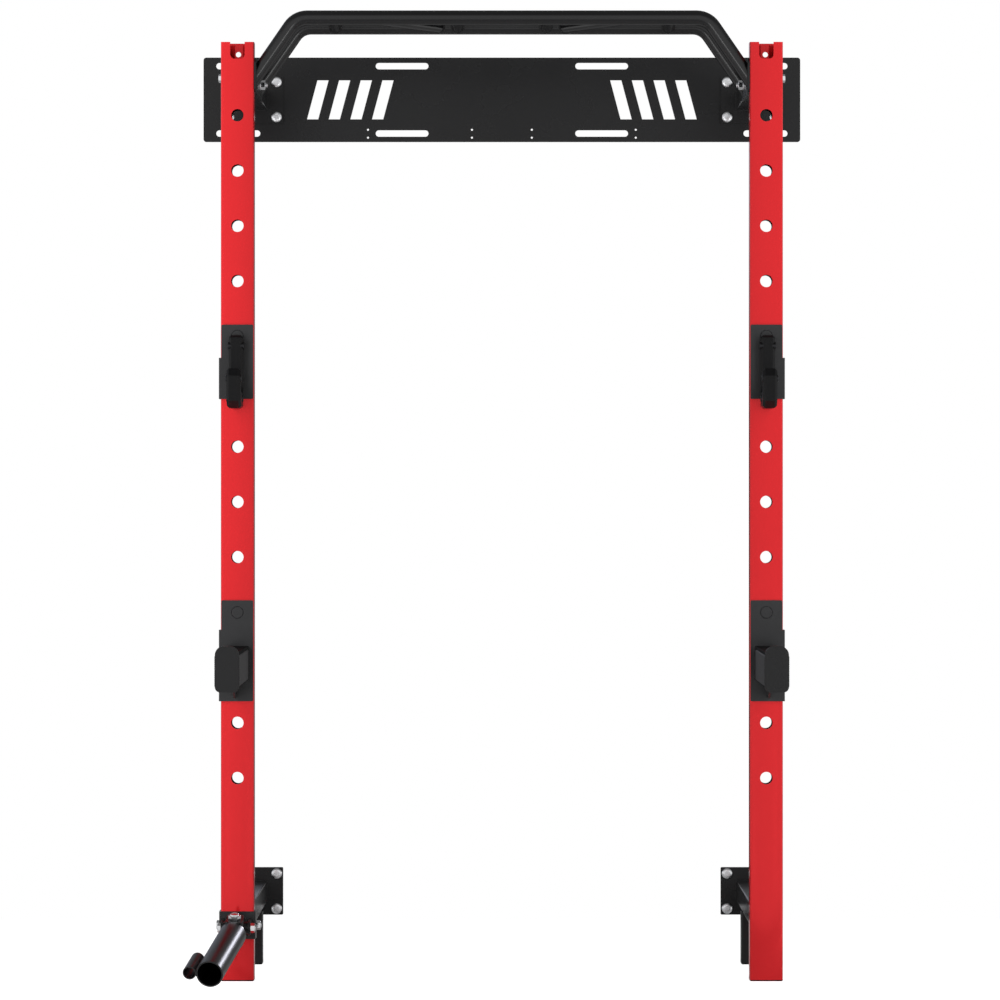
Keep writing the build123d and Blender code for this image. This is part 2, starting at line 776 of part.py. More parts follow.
# Pull-up bar
parts["front_pull_up_bar"] = make_bar(front_bar_y)
parts["rear_pull_up_bar"] = make_bar(rear_bar_y)
add_both("neutral_grips", [make_grip(-x, -x) for x in neutral_grip_x])
add_both("angled_grips", [make_grip(-angled_grip_front_x, -angled_grip_rear_x)])
add_pair("pull_up_flange", make_bar_flange())
add_both("pull_up_fasteners", make_bar_fasteners())

# J-cups
add_pair("j_cup_plate", make_saddle(cup_pin_z, cup_plate_low, cup_plate_high, cup_side_high))
add_pair("j_cup_pin", make_pin(cup_pin_z))
add_pair("j_cup_hook", make_cup_hook())
add_pair("j_cup_liner", group(make_cup_liner()))
add_pair("j_cup_bolts", group(make_cup_bolts()))

# Spotter arms
spotter_saddle = make_saddle(spotter_pin_z, spotter_plate_low, spotter_plate_high, spotter_side_high)
add_pair("spotter_plate", spotter_saddle)
add_pair("spotter_pin", make_pin(spotter_pin_z))
add_pair("spotter_arm", make_spotter_arm())
add_pair("spotter_end_plate", make_spotter_end())
add_pair("spotter_pad", make_spotter_pad())
add_pair("spotter_gusset", make_gusset())

# Landmine
parts["landmine_bracket"] = make_landmine_bracket()
clamp_middle = (left_x, upright_depth / 2, clamp_bolt_z)
clamp_bolt = cross_bolt(m12, clamp_middle, upright_width / 2 + bracket_thickness)
parts["landmine_clamp_bolt"] = group(clamp_bolt)
pitch_bolt = cross_bolt(m12, (landmine_x, pivot_y, pivot_z), ear_inside + ear_thickness + slide_gap)
parts["landmine_pitch_bolt"] = group(pitch_bolt)
parts["landmine_swivel"] = make_swivel()
parts["landmine_yaw_bolt"] = group(make_yaw_bolt())
parts["landmine_fork"] = make_fork()
parts["landmine_sleeve"] = make_sleeve()
parts["landmine_side_tube"] = make_side_tube()

os.makedirs("parts", exist_ok=True)
for name, shape in parts.items():
    export_step(Pos(0, front_y, 0) * shape, f"parts/{name}.step")
print(len(parts), "nodes")
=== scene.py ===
import bpy
import json
import math
import numpy as np
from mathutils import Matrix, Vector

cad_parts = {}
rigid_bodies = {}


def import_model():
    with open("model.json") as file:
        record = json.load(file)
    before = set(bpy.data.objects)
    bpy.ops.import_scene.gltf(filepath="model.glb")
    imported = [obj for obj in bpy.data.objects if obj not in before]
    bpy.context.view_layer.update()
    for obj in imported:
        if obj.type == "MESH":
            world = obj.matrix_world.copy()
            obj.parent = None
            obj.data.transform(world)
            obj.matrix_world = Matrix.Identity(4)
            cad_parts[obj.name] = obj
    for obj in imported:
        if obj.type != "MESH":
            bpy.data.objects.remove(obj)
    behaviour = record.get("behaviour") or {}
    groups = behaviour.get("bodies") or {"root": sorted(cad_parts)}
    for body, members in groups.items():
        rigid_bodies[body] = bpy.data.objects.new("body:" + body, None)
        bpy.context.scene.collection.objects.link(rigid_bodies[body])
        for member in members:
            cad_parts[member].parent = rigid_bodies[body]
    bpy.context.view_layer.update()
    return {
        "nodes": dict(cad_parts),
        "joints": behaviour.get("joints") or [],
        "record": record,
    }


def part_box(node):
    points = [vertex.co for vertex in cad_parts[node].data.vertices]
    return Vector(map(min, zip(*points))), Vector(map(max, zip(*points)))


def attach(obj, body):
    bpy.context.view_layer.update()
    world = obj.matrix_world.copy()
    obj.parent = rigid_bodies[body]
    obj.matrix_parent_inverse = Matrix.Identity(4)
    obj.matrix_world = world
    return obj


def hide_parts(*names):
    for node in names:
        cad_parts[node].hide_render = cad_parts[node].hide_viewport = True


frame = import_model()
nodes = frame["nodes"]
mm = 0.001
uprightLow, uprightHigh = (np.array(corner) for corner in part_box("left_upright"))
leftX = (uprightLow[0] + uprightHigh[0]) / 2
frontY = uprightLow[1]
print("frame loaded:", len(nodes), "nodes")


# point in metres: millimetres right of the left upright's middle, behind its front face, above the floor
def place(x, t, z):
    return np.array([leftX, frontY, 0]) + np.stack(np.broadcast_arrays(x, t, z), axis=-1) * mm


# sRGB hex such as "#DE2C2F" to linear RGBA
def hexToLinear(text):
    srgb = np.array([int(text[i:i + 2], 16) for i in (1, 3, 5)]) / 255
    linear = np.where(srgb <= 0.04045, srgb / 12.92, ((srgb + 0.055) / 1.055) ** 2.4)
    return (*linear.tolist(), 1.0)


# adds one node, with its settings, socket values and links
def addNode(tree, kind, settings=None, values=None, links=None):
    node = tree.nodes.new(kind)
    for name, value in (settings or {}).items():
        setattr(node, name, value)
    for socket, value in (values or {}).items():
        node.inputs[socket].default_value = value
    for socket, source in (links or {}).items():
        tree.links.new(source, node.inputs[socket])
    return node


# empty material with its shader and Object coordinates
def startMaterial(name):
    material = bpy.data.materials.new(name)
    material.use_nodes = True
    tree = material.node_tree
    tree.nodes.clear()
    shader = addNode(tree, "ShaderNodeBsdfPrincipled")
    addNode(tree, "ShaderNodeOutputMaterial", links={"Surface": shader.outputs["BSDF"]})
    coordinates = addNode(tree, "ShaderNodeTexCoord").outputs["Object"]
    return material, tree, shader, coordinates


# noise scale that makes lumps about sizeMm across
def lumpScale(sizeMm):
    return 1.0 / (sizeMm * mm)


# faces rolled slightly proud: height = -rise * (distance from the upright's middle / half width)^2
def crownNormal(tree, coordinates, riseMm):
    x = addNode(tree, "ShaderNodeSeparateXYZ", links={"Vector": coordinates}).outputs["X"]
    aside = addNode(tree, "ShaderNodeMath", {"operation": "ABSOLUTE"}, links={0: x}).outputs["Value"]
    halfWidth = (uprightHigh[0] - uprightLow[0]) / 2
    span = {"From Min": -leftX - halfWidth, "From Max": -leftX + halfWidth, "To Min": -1.0, "To Max": 1.0}
    offset = addNode(tree, "ShaderNodeMapRange", {"clamp": False}, span, {"Value": aside}).outputs["Result"]
    square = addNode(tree, "ShaderNodeMath", {"operation": "MULTIPLY"}, links={0: offset, 1: offset})
    bump = addNode(tree, "ShaderNodeBump", {"invert": True}, {"Strength": 1.0, "Distance": riseMm * mm},
                   {"Height": square.outputs["Value"]})
    return bump.outputs["Normal"]


# room inside an upright's tube, where painted shade goes: its middle in depth and height, and half its sizes
# in millimetres
tubeRoom = {"middleT": 25.0, "middleZ": 1000.0, "halfWide": 34.9, "halfDeep": 22.4, "halfHigh": 1050.0}


# 1 inside the uprights' tubes, which are painted near black there as shade, and 0 outside them and near their
# open tops
def tubeShadeMask(tree, coordinates):
    r = tubeRoom
    point = addNode(tree, "ShaderNodeSeparateXYZ", links={"Vector": coordinates}).outputs
    aside = addNode(tree, "ShaderNodeMath", {"operation": "ABSOLUTE"}, links={0: point["X"]}).outputs["Value"]
    middleY, middleZ = frontY + r["middleT"] * mm, r["middleZ"] * mm
    shadeMask = None
    for value, middle, half in ((aside, -leftX, r["halfWide"]), (point["Y"], middleY, r["halfDeep"]),
                                (point["Z"], middleZ, r["halfHigh"])):
        near = addNode(tree, "ShaderNodeMath", {"operation": "COMPARE"}, {1: middle, 2: half * mm},
                       {0: value})
        shadeMask = near if shadeMask is None else addNode(tree, "ShaderNodeMath", {"operation": "MULTIPLY"},
                                                 links={0: shadeMask.outputs["Value"], 1: near.outputs["Value"]})
    return shadeMask.outputs["Value"]


# finish with two close shades in soft clouds, uneven gloss and a fine bump
def makeCoating(look):
    material, tree, shader, coordinates = startMaterial(look["name"])
    clouds = addNode(tree, "ShaderNodeTexNoise", values={"Scale": lumpScale(look["cloudMm"]), "Detail": 3.0},
                     links={"Vector": coordinates})
    shade = addNode(tree, "ShaderNodeMix", {"data_type": "RGBA"},
                    {"A": hexToLinear(look["colorLow"]), "B": hexToLinear(look["colorHigh"])},
                    {"Factor": clouds.outputs["Fac"]})
    gloss = addNode(tree, "ShaderNodeMapRange",
                    values={"To Min": look["roughLow"], "To Max": look["roughHigh"]},
                    links={"Value": clouds.outputs["Fac"]})
    peel = addNode(tree, "ShaderNodeTexNoise", values={"Scale": lumpScale(look["peelMm"]), "Detail": 1.0},
                   links={"Vector": coordinates})
    bump = addNode(tree, "ShaderNodeBump",
                   values={"Strength": look["peelStrength"], "Distance": look["peelDeepMm"] * mm},
                   links={"Height": peel.outputs["Fac"]})
    if "crown" in look:
        tree.links.new(crownNormal(tree, coordinates, look["crown"]), bump.inputs["Normal"])
    # painted shade: the unlit insides of the uprights' tubes are painted near black
    if "inside" in look:
        shade = addNode(tree, "ShaderNodeMix", {"data_type": "RGBA"}, {"B": hexToLinear(look["inside"])},
                        {"Factor": tubeShadeMask(tree, coordinates), "A": shade.outputs["Result"]})
    tree.links.new(shade.outputs["Result"], shader.inputs["Base Color"])
    tree.links.new(gloss.outputs["Result"], shader.inputs["Roughness"])
    tree.links.new(bump.outputs["Normal"], shader.inputs["Normal"])
    shader.inputs["Metallic"].default_value = look["metallic"]
    shader.inputs["Specular IOR Level"].default_value = look["specular"]
    return material


# gloss red powder coat with fine metal flake: mirrors nearby bolts in dark red, faint orange peel; the tubes'
# insides are painted near black as shade
redCoat = {"name": "gloss red powder coat", "colorLow": "#D42429", "colorHigh": "#DA262B", "cloudMm": 160,
           "roughLow": 0.09, "roughHigh": 0.13, "peelMm": 6.0, "peelDeepMm": 0.02, "peelStrength": 0.1,
           "metallic": 0.4, "specular": 0.25, "crown": 6.0, "inside": "#0A0909"}
# semi-gloss black powder coat on plates and brackets: fine texture, soft highlights
blackCoat = {"name": "black powder coat", "colorLow": "#161617", "colorHigh": "#1C1C1D", "cloudMm": 90,
             "roughLow": 0.24, "roughHigh": 0.31, "peelMm": 3.0, "peelDeepMm": 0.04, "peelStrength": 0.2,
             "metallic": 0.0, "specular": 0.27}
# smoother black powder coat on bars and arms: narrow bright lines along the tubes
barCoat = {"name": "smooth black powder coat", "colorLow": "#141415", "colorHigh": "#19191A", "cloudMm": 120,
           "roughLow": 0.17, "roughHigh": 0.22, "peelMm": 4.0, "peelDeepMm": 0.02, "peelStrength": 0.12,
           "metallic": 0.0, "specular": 0.4}
# satin black powder coat on the pinned plates: a little paler and duller
satinCoat = {"name": "satin black powder coat", "colorLow": "#2A2A2B", "colorHigh": "#313132", "cloudMm": 60,
             "roughLow": 0.46, "roughHigh": 0.54, "peelMm": 2.5, "peelDeepMm": 0.05, "peelStrength": 0.3,
             "metallic": 0.0, "specular": 0.25}
# black enamel on the landmine: deep black, its gloss drawn out into long soft streaks
blackEnamel = {"name": "black gloss enamel", "colorLow": "#060607", "colorHigh": "#0A0A0B", "cloudMm": 50,
               "roughLow": 0.31, "roughHigh": 0.35, "peelMm": 6.0, "peelDeepMm": 0.02, "peelStrength": 0.12,
               "metallic": 0.0, "specular": 0.5}
# bright zinc plate on bolts and nuts: mirror-like with a slight haze
brightZinc = {"name": "bright zinc plate", "colorLow": "#DDDEE1", "colorHigh": "#E8E9EB", "cloudMm": 12,
              "roughLow": 0.07, "roughHigh": 0.13, "peelMm": 1.5, "peelDeepMm": 0.01, "peelStrength": 0.1,
              "metallic": 1.0, "specular": 0.5}
# duller zinc on the wall bolts' domes: pale, without sharp mirror images
dullZinc = {"name": "dull zinc plate", "colorLow": "#DFE0E3", "colorHigh": "#EAEBED", "cloudMm": 10,
            "roughLow": 0.28, "roughHigh": 0.36, "peelMm": 1.5, "peelDeepMm": 0.01, "peelStrength": 0.1,
            "metallic": 1.0, "specular": 0.5}
# black oxide on pins and cup bolts: dark steel that still looks like metal
blackOxide = {"name": "black oxide steel", "colorLow": "#2A2A2C", "colorHigh": "#363638", "cloudMm": 15,
              "roughLow": 0.30, "roughHigh": 0.40, "peelMm": 1.5, "peelDeepMm": 0.02, "peelStrength": 0.15,
              "metallic": 1.0, "specular": 0.5}
# dull polyethylene on the spotter arms' pads: black and scuffed
blackPad = {"name": "scuffed black polyethylene", "colorLow": "#0A0A0A", "colorHigh": "#0F0F0F",
            "cloudMm": 30, "roughLow": 0.64, "roughHigh": 0.76, "peelMm": 2.0, "peelDeepMm": 0.05,
            "peelStrength": 0.3, "metallic": 0.0, "specular": 0.05}
# moulded nylon on the cup shells and feet: dull black with a fine moulding grain
blackNylon = {"name": "moulded black nylon", "colorLow": "#0A0A0B", "colorHigh": "#101011", "cloudMm": 40,
              "roughLow": 0.36, "roughHigh": 0.46, "peelMm": 1.2, "peelDeepMm": 0.04, "peelStrength": 0.3,
              "metallic": 0.0, "specular": 0.15}

coats = {look["name"]: makeCoating(look)
         for look in (redCoat, blackCoat, barCoat, satinCoat, blackEnamel, brightZinc, dullZinc, blackOxide,
                      blackPad, blackNylon)}
slotCoats = {"red_powder_coat": "gloss red powder coat", "black_powder_coat": "black powder coat",
             "gloss_black_paint": "black gloss enamel", "chrome_plate": "bright zinc plate",
             "black_oxide": "black oxide steel", "black_plastic": "moulded black nylon"}
nodeCoats = {"landmine_fork": "black powder coat"}
for node in ("front_pull_up_bar", "rear_pull_up_bar", "neutral_grips", "angled_grips"):
    nodeCoats[node] = "smooth black powder coat"
for side in ("left_", "right_"):
    nodeCoats[side + "spotter_pad"] = "scuffed black polyethylene"
    for piece in ("upper_arm", "lower_arm"):
        nodeCoats[side + piece] = "smooth black powder coat"
    for piece in ("j_cup_plate", "j_cup_pin", "spotter_plate", "spotter_pin", "spotter_gusset",
                  "spotter_arm"):
        nodeCoats[side + piece] = "satin black powder coat"
for entry in frame["record"]["subparts"]:
    coat = nodeCoats.get(entry["node"], slotCoats[entry["material_slot"]])
    mesh = nodes[entry["node"]].data
    mesh.materials.clear()
    mesh.materials.append(coats[coat])
print("coatings:", len(coats))


# skin over rings of points [ring, point, xyz]: quads between neighbours, then end faces or a closed loop
def skin(rings, loop=False):
    count, around = rings.shape[:2]
    ids = np.arange(count * around).reshape(count, around)
    here = ids if loop else ids[:-1]
    ahead = np.roll(ids, -1, axis=0) if loop else ids[1:]
    quads = np.stack([here, np.roll(here, -1, axis=1), np.roll(ahead, -1, axis=1), ahead], axis=-1)
    faces = quads.reshape(-1, 4).tolist()
    if not loop:
        faces += [ids[0, ::-1].tolist(), ids[-1].tolist()]
    return rings.reshape(-1, 3), faces


# mirror image on the right side of the rack, with its faces turned to keep them outwards
def mirrored(surfaces):
    return [(points * (-1, 1, 1), [face[::-1] for face in faces]) for points, faces in surfaces]


# one mesh object from closed surfaces, riding on a body and standing for the CAD nodes it replaces
def makePiece(name, surfaces, coat, body, replaced=(), sharpAngle=35):
    starts = np.cumsum([0] + [len(points) for points, faces in surfaces])
    points = np.concatenate([points for points, faces in surfaces])
    faces = [[int(start) + i for i in face] for start, (_, own) in zip(starts, surfaces) for face in own]
    mesh = bpy.data.meshes.new(name)
    mesh.from_pydata(points.tolist(), [], faces)
    mesh.shade_smooth()
    mesh.set_sharp_from_angle(angle=math.radians(sharpAngle))
    mesh.materials.append(coats[coat])
    piece = bpy.data.objects.new(name, mesh)
    bpy.context.scene.collection.objects.link(piece)
    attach(piece, body)
    if replaced:
        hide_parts(*replaced)


# an axis as a unit vector and two unit vectors square to it, so that first x second = axis
def squareTo(axis):
    axis = np.array(axis, float) / np.linalg.norm(axis)
    helper = np.array([0, 0, 1.0]) if abs(axis[2]) < 0.9 else np.array([1.0, 0, 0])
    first = np.cross(helper, axis)
    first /= np.linalg.norm(first)
    return axis, first, np.cross(axis, first)


# turned piece: ring k lies heights[k] mm along the axis with radius radii[k] mm, held inside a hexagon
# where acrossFlats is given: r = min(radius, flats / 2 / cos(angle from the nearest flat)),
# less a thread groove threads[k] mm deep that climbs one pitch a turn
def turn(base, axis, heights, radii, acrossFlats=None, threads=0.0, pitch=1.5, around=48, loop=False):
    axis, first, second = squareTo(axis)
    angles = np.arange(around) * 2 * np.pi / around
    heights = np.array(heights, float)[:, None]
    radius = np.broadcast_to(np.array(radii, float)[:, None], (len(heights), around))
    if acrossFlats:
        flat = acrossFlats / 2 / np.cos((angles + np.pi / 6) % (np.pi / 3) - np.pi / 6)
        radius = np.minimum(radius, flat)
    climb = (heights / pitch - angles / (2 * np.pi)) % 1
    radius = radius - np.reshape(threads, (-1, 1)) * np.abs(2 * climb - 1)
    ring = np.cos(angles)[:, None] * first + np.sin(angles)[:, None] * second
    return skin(base + (heights[..., None] * axis + radius[..., None] * ring) * mm, loop)


# hexagon fasteners: shank diameter, across flats, head height, thread pitch and nut height in millimetres
fasteners = {"m8": (8.0, 13.0, 5.3, 1.25, 6.5), "m10": (10.0, 17.0, 6.4, 1.5, 8.4),
             "m12": (12.0, 19.0, 7.5, 1.75, 10.8), "m16": (16.0, 24.0, 10.0, 2.0, 13.0)}
boltShape = {"washerFace": 0.5, "faceRim": 0.95, "chamferTan": math.tan(math.radians(30)), "chamferRings": 6,
             "tip": 1.2, "tipBevel": 0.8, "grooveShare": 0.55, "ringsPerPitch": 6, "boreGap": 0.1,
             "boreBevel": 0.8, "boreBevelDeep": 1.0, "collarNeck": 0.84, "collarBend": 0.6, "collarRings": 7,
             "washerSoft": 0.25}


# a hexagon's corner radius, the radius of its chamfered face, the chamfer's height and steps over it
def hexChamfer(flats):
    corner, rim = flats / math.sqrt(3), boltShape["faceRim"] * flats / 2
    bevel = (corner - rim) * boltShape["chamferTan"]
    return corner, rim, bevel, np.linspace(0, 1, boltShape["chamferRings"])


# head on its seat and a shank of that length behind it, threaded near its end
def hexBolt(size, seat, axis, length, threaded):
    shank, flats, high, pitch, _ = fasteners[size]
    corner, rim, bevel, rise = hexChamfer(flats)
    tip, face = boltShape["tip"], boltShape["washerFace"]
    root = shank / 2 - tip * boltShape["tipBevel"]
    threadZ = np.arange(-length + tip, -length + threaded, pitch / boltShape["ringsPerPitch"])
    heights = np.concatenate([[-length, -length + tip], threadZ, [-length + threaded, 0, 0, face, face],
                              high - bevel + bevel * rise])
    radii = np.concatenate([[root, shank / 2], threadZ * 0 + shank / 2, [shank / 2, shank / 2, rim, rim],
                            [corner], corner + (rim - corner) * rise])
    grooves = np.zeros(len(heights))
    grooves[2:2 + len(threadZ)] = boltShape["grooveShare"] * pitch
    return turn(seat, axis, heights, radii, flats, grooves, pitch)


# nut with both faces chamfered; a lock nut carries a rounded collar on top
def hexNut(size, seat, axis, high=None, collar=0.0):
    shank, flats, _, _, ownHigh = fasteners[size]
    high = high or ownHigh
    body = high - collar
    corner, rim, bevel, rise = hexChamfer(flats)
    bore = shank / 2 + boltShape["boreGap"]
    mouth, deep = bore + boltShape["boreBevel"], boltShape["boreBevelDeep"]
    outer = [bevel * rise, body - bevel + bevel * rise]
    outerR = [rim + (corner - rim) * rise, corner + (rim - corner) * rise]
    if collar:
        bend = np.linspace(0, np.pi / 2, boltShape["collarRings"])
        neck = boltShape["collarNeck"] * flats / 2
        outer += [[body], body + collar * np.sin(bend)]
        outerR += [[neck], neck - boltShape["collarBend"] * collar * (1 - np.cos(bend))]
    heights = np.concatenate([[deep, 0.0]] + outer + [[high, high - deep]])
    radii = np.concatenate([[bore, mouth]] + outerR + [[mouth, bore]])
    return turn(seat, axis, heights, radii, flats, loop=True)


# flat washer with softened rims
def flatWasher(seat, axis, inner, outer, thick):
    soft = boltShape["washerSoft"] * thick
    heights = [0, 0, soft, thick - soft, thick, thick]
    radii = [inner, outer - soft, outer, outer, outer - soft, inner]
    return turn(seat, axis, heights, radii, loop=True)


# bolts of the pull-up bar's flanges: one through each upright with a thin nut,
# one through each upper arm with washers and a nut
pullUpBolts = {"uprightT": 25.0, "uprightZ": 2045.0, "armT": 190.0, "armZ": 2043.0, "uprightHalf": 37.5,
               "armHalf": 35.0, "flange": 4.0, "washer": 2.5, "washerOuter": 12.0, "thinNut": 5.0,
               "reach": 18.0, "threaded": 30.0}


def makePullUpBolts():
    b = pullUpBolts
    inward, outward = (1, 0, 0), (-1, 0, 0)
    flangeFace = b["uprightHalf"] + b["flange"]
    nutFace = flangeFace + b["washer"]
    bore = fasteners["m12"][0] / 2 + boltShape["boreGap"]
    uprightT, uprightZ, armT, armZ = b["uprightT"], b["uprightZ"], b["armT"], b["armZ"]
    uprightSeat, armSeat = place(-b["uprightHalf"], uprightT, uprightZ), place(-b["armHalf"], armT, armZ)
    uprightLength = b["uprightHalf"] + flangeFace + b["thinNut"]
    armLength = b["armHalf"] + flangeFace + b["reach"]
    left = [hexBolt("m10", uprightSeat, outward, uprightLength, b["threaded"]),
            hexNut("m10", place(flangeFace, uprightT, uprightZ), inward, b["thinNut"]),
            hexBolt("m12", armSeat, outward, armLength, b["threaded"]),
            flatWasher(place(b["armHalf"], armT, armZ), inward, bore, b["washerOuter"], b["washer"]),
            flatWasher(place(flangeFace, armT, armZ), inward, bore, b["washerOuter"], b["washer"]),
            hexNut("m12", place(nutFace, armT, armZ), inward)]
    makePiece("pull_up_bolts", left + mirrored(left), "bright zinc plate", "frame",
              ["pull_up_fasteners"])


# bolts of the arms' flanges, heads behind the uprights: one above and one below each arm
flangeBolts = {"backT": 56.0, "reach": 18.0, "threaded": 10.0, "heights": (2050.0, 147.5), "apart": 32.8}


def makeFlangeBolts():
    b = flangeBolts
    left = [hexBolt("m8", place(0, b["backT"], z + side * b["apart"]), (0, 1, 0), b["reach"], b["threaded"])
            for z in b["heights"] for side in (-1, 1)]
    makePiece("flange_bolts", left + mirrored(left), "bright zinc plate", "frame",
              ["arm_flange_bolts"])


# round-headed wall bolts: flattened domes, high * (1 - (r / head)^domePower)^(1/2),
# over shanks that end at the wall
wallBolts = {"x": 57.0, "z": 42.0, "plates": ((2050.0, 723.0), (147.5, 727.0)), "wallT": 733.0, "head": 13.25,
             "rim": 0.8, "high": 7.0, "domePower": 5, "rings": 14, "shank": 6.0}


def makeWallBolts():
    b = wallBolts
    share = 1 - np.linspace(0, 1, b["rings"], endpoint=False) ** 2
    domeZ = b["rim"] + (b["high"] - b["rim"]) * np.sqrt(1 - share ** b["domePower"])
    left = []
    for z, faceT in b["plates"]:
        depth = b["wallT"] - faceT
        heights = np.concatenate([[-depth, 0, 0], domeZ])
        radii = np.concatenate([[b["shank"], b["shank"], b["head"]], b["head"] * share])
        left += [turn(place(x, faceT, z + rise), (0, -1, 0), heights, radii)
                 for x in (-b["x"], b["x"]) for rise in (-b["z"], b["z"])]
    makePiece("wall_bolt_heads", left + mirrored(left), "dull zinc plate", "frame",
              ["wall_bolts"])


# sunk round cup bolts with a socket and a rim rounded by a quarter turn of radius bend,
# and cap nuts like them on the other side
cupBolts = {"middle": -2.4, "seat": 10.0, "places": ((14.0, 1438.0), (117.0, 1362.0), (45.0, 1318.0)),
            "head": 8.5, "high": 8.3, "bend": 2.0, "bendRings": 8, "socketFlats": 5.0, "socketDeep": 3.0,
            "shank": 4.0}


def makeCupBolts():
    b = cupBolts
    bend = np.linspace(0, np.pi / 2, b["bendRings"])
    domeR = b["head"] - b["bend"] * (1 - np.cos(bend))
    domeZ = b["high"] - b["bend"] * (1 - np.sin(bend))
    socket = b["socketFlats"] / math.sqrt(3)
    heights = np.concatenate([[-b["seat"], 0, 0], domeZ, [b["high"], b["high"] - b["socketDeep"]]])
    radii = np.concatenate([[b["shank"], b["shank"], b["head"]], domeR, [socket, socket]])
    left = [turn(place(b["middle"] + side * b["seat"], -t, z), (side, 0, 0), heights, radii)
            for t, z in b["places"] for side in (-1, 1)]
    for side, surfaces in (("left", left), ("right", mirrored(left))):
        makePiece(side + "_cup_bolt_heads", surfaces, "black oxide steel", side + "_j_cup",
                  [side + "_j_cup_bolts"])


yawJoint = next(joint for joint in frame["joints"] if joint["name"] == "landmine_yaw")
yawMiddle, yawAxis = np.array(yawJoint["pos_m"]), np.array(yawJoint["axis"])
# clamp and pitch bolts across the landmine's bracket, each with a nut,
# and along the yaw axis a bolt that ends just inside its lock nut
landmineBolts = {"clampX": 0.0, "clampT": 25.0, "clampHalf": 41.0, "pitchX": -1.4, "pitchT": -54.0,
                 "pitchHalf": 33.3, "z": 125.5, "tip": 1.5, "threaded": 24.0, "forkHalf": 29.3,
                 "collar": 3.6, "yawThreaded": 20.0, "yawShort": 1.0}


def makeLandmineBolts():
    b = landmineBolts
    nutHigh = fasteners["m12"][4]
    for name, body in (("clamp", "frame"), ("pitch", "landmine_swivel")):
        x, t, half = b[name + "X"], b[name + "T"], b[name + "Half"]
        length = 2 * half + nutHigh + b["tip"]
        surfaces = [hexBolt("m12", place(x - half, t, b["z"]), (-1, 0, 0), length, b["threaded"]),
                    hexNut("m12", place(x + half, t, b["z"]), (1, 0, 0))]
        makePiece("landmine_" + name + "_fastener", surfaces, "bright zinc plate", body,
                  ["landmine_" + name + "_bolt"])
    reach = b["forkHalf"] * mm * yawAxis
    length = 2 * b["forkHalf"] + fasteners["m16"][4] - b["yawShort"]
    surfaces = [hexBolt("m16", yawMiddle - reach, -yawAxis, length, b["yawThreaded"]),
                hexNut("m16", yawMiddle + reach, yawAxis, collar=b["collar"])]
    makePiece("landmine_yaw_fastener", surfaces, "bright zinc plate", "landmine_swivel",
              ["landmine_yaw_bolt"])


makePullUpBolts()
makeFlangeBolts()
makeWallBolts()
makeCupBolts()
makeLandmineBolts()
print("bolts and nuts done")

# weld beads: tubes along the seams, half sunk in the metal,
# radius = size * (1 + ripple * |sin(pi * length / pitch)|)
welds = {"size": 2.0, "ripple": 0.25, "pitch": 4.0, "steps": 5, "around": 10, "seamSteps": 48,
         "cornerSteps": 7, "flangeT": 56.0, "wallPlates": ((2050.0, 723.0), (147.5, 727.0)),
         "armWide": 35.0, "armHigh": 25.0, "tubeCorner": 4.0, "legTop": 122.5, "legT": (410.0, 460.0),
         "legHalf": 33.0, "flangeX": 41.5, "barT": (25.0, 272.0), "barZ": 2183.0, "barEndZ": 2051.0,
         "barLean": 0.5676, "barRadius": 16.5, "gripRadius": 13.5,
         "grips": ((102.0, 102.0), (385.0, 385.0), (310.0, 139.0)), "earX": (-31.9, 29.1), "earT": -3.5,
         "earZ": 125.5, "earHalf": 16.0, "earThick": 2.5, "earCorner": 1.0, "spotterT": (-4.3, -442.0),
         "spotterZ": 717.0, "spotterWide": 25.0, "spotterHigh": 35.0, "gussetX": (-7.3, -3.3),
         "gussetLow": 644.0, "gussetReach": -97.0, "sideTubeX": -30.4, "sideTubeZ": (-6.1, 6.1),
         "sideTubeY": (-188.0, -271.0), "sleeveYaw": 8.8, "sleevePitch": 15.2}
seamAngles = np.linspace(0, 2 * np.pi, welds["seamSteps"], endpoint=False)


# bead along a path [point, xyz] in metres whose turns stay square to one direction
def weldBead(path, square, closed=True):
    if closed:
        path = np.concatenate([path, path[:1]])
    lengths = np.concatenate([[0], np.cumsum(np.linalg.norm(np.diff(path, axis=0), axis=1))])
    count = round(lengths[-1] / (welds["pitch"] * mm)) * welds["steps"]
    along = np.linspace(0, lengths[-1], count, endpoint=not closed)
    points = np.stack([np.interp(along, lengths, path[:, i]) for i in range(3)], axis=1)
    if closed:
        ways = np.roll(points, -1, axis=0) - np.roll(points, 1, axis=0)
    else:
        ways = np.gradient(points, axis=0)
    ways /= np.linalg.norm(ways, axis=1, keepdims=True)
    first = np.cross(square, ways)
    first /= np.linalg.norm(first, axis=1, keepdims=True)
    second = np.cross(ways, first)
    angles = (np.arange(welds["around"]) * 2 * np.pi / welds["around"])[:, None]
    ripple = welds["ripple"] * np.abs(np.sin(np.pi * np.arange(count) / welds["steps"]))
    size = welds["size"] * mm * (1 + ripple)
    ring = np.cos(angles) * first[:, None] + np.sin(angles) * second[:, None]
    return skin(points[:, None] + size[:, None, None] * ring, closed)


# rounded rectangle, four quarter turns round its corners: across and up in millimetres
def roundedBox(halfWide, halfHigh, corner):
    arcs = (np.arange(4)[:, None] + np.linspace(0, 1, welds["cornerSteps"])) * np.pi / 2
    across = np.array([[1], [-1], [-1], [1]]) * (halfWide - corner) + corner * np.cos(arcs)
    up = np.array([[1], [1], [-1], [-1]]) * (halfHigh - corner) + corner * np.sin(arcs)
    return across.ravel(), up.ravel()


